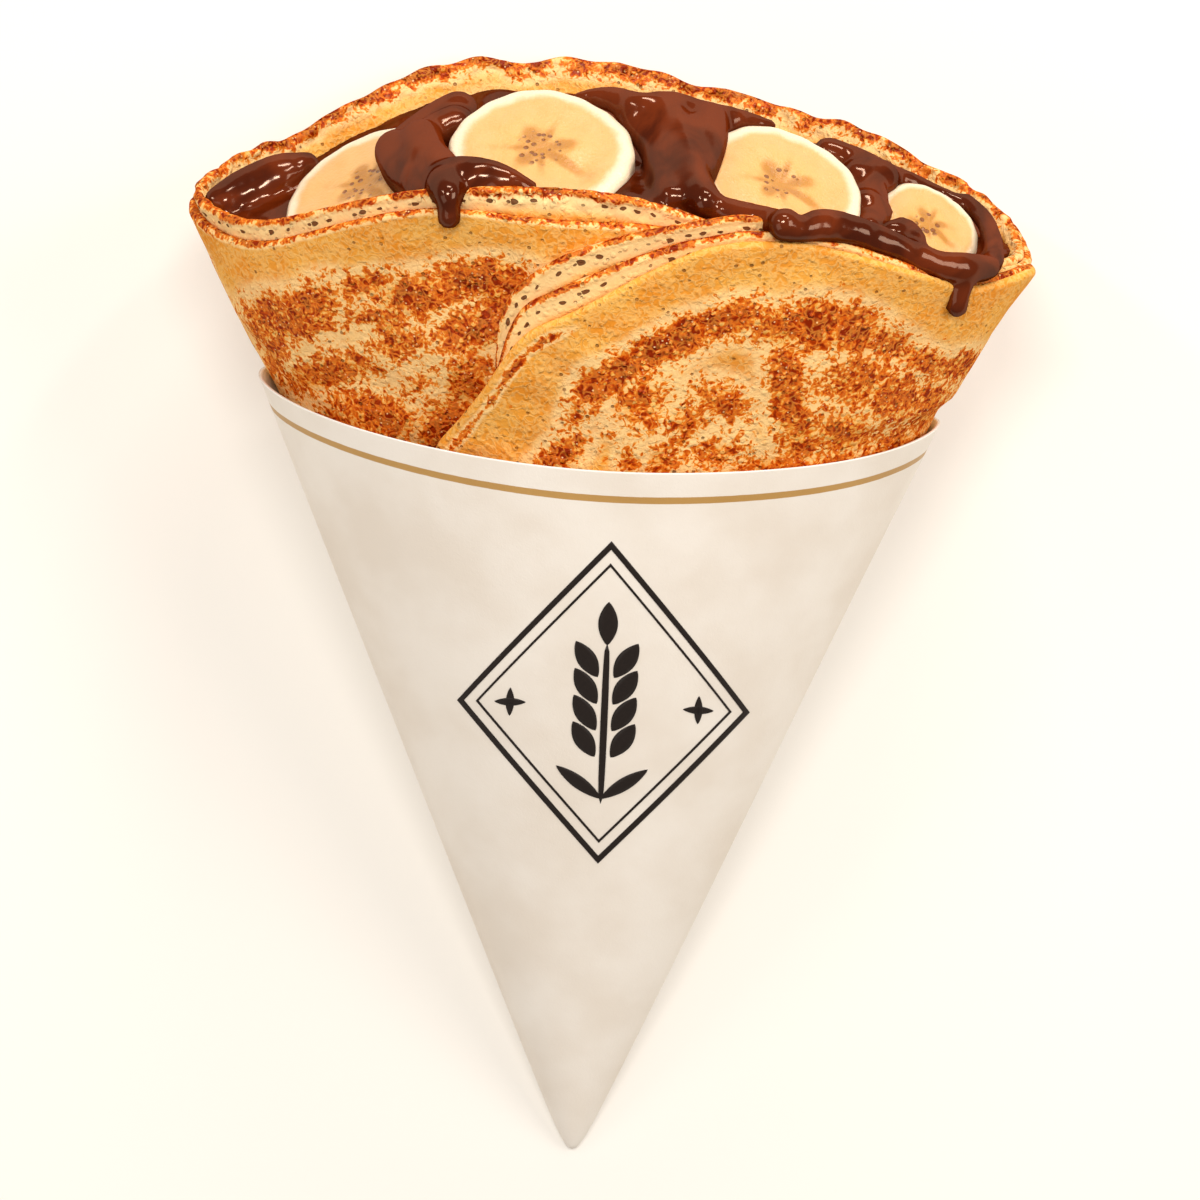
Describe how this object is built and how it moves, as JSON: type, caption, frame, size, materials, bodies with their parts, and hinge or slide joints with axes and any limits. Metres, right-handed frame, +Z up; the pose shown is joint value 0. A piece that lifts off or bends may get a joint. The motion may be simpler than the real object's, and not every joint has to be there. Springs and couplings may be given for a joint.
{
  "type": "filled crepe in a paper cone",
  "caption": "Crepe rolled into a cone round chocolate spread and banana slices, served in a plain paper cone that lies on its back, shown side up.",
  "frame": {"origin": "centre of the footprint, on the floor that the cone's back rests on", "axes": "+Y from the paper's tip towards the crepe's opening, +Z up through the shown side, +X to the right as seen from above"},
  "size_m": [0.158, 0.209, 0.0913],
  "materials": {
    "paper": "uncoated white paperboard with a thin gold line under the edge and a black line emblem",
    "crepe": "soft baked batter, cream to golden with brown patches and fine pores",
    "chocolate": "glossy chocolate spread",
    "banana": "moist banana flesh, pale ring and seed star"
  },
  "bodies": {
    "root": {"paper_cone": "paper", "crepe": "crepe", "chocolate": "chocolate", "banana_slice_1": "banana", "banana_slice_2": "banana", "banana_slice_3": "banana", "banana_slice_4": "banana"}
  },
  "joints": []
}
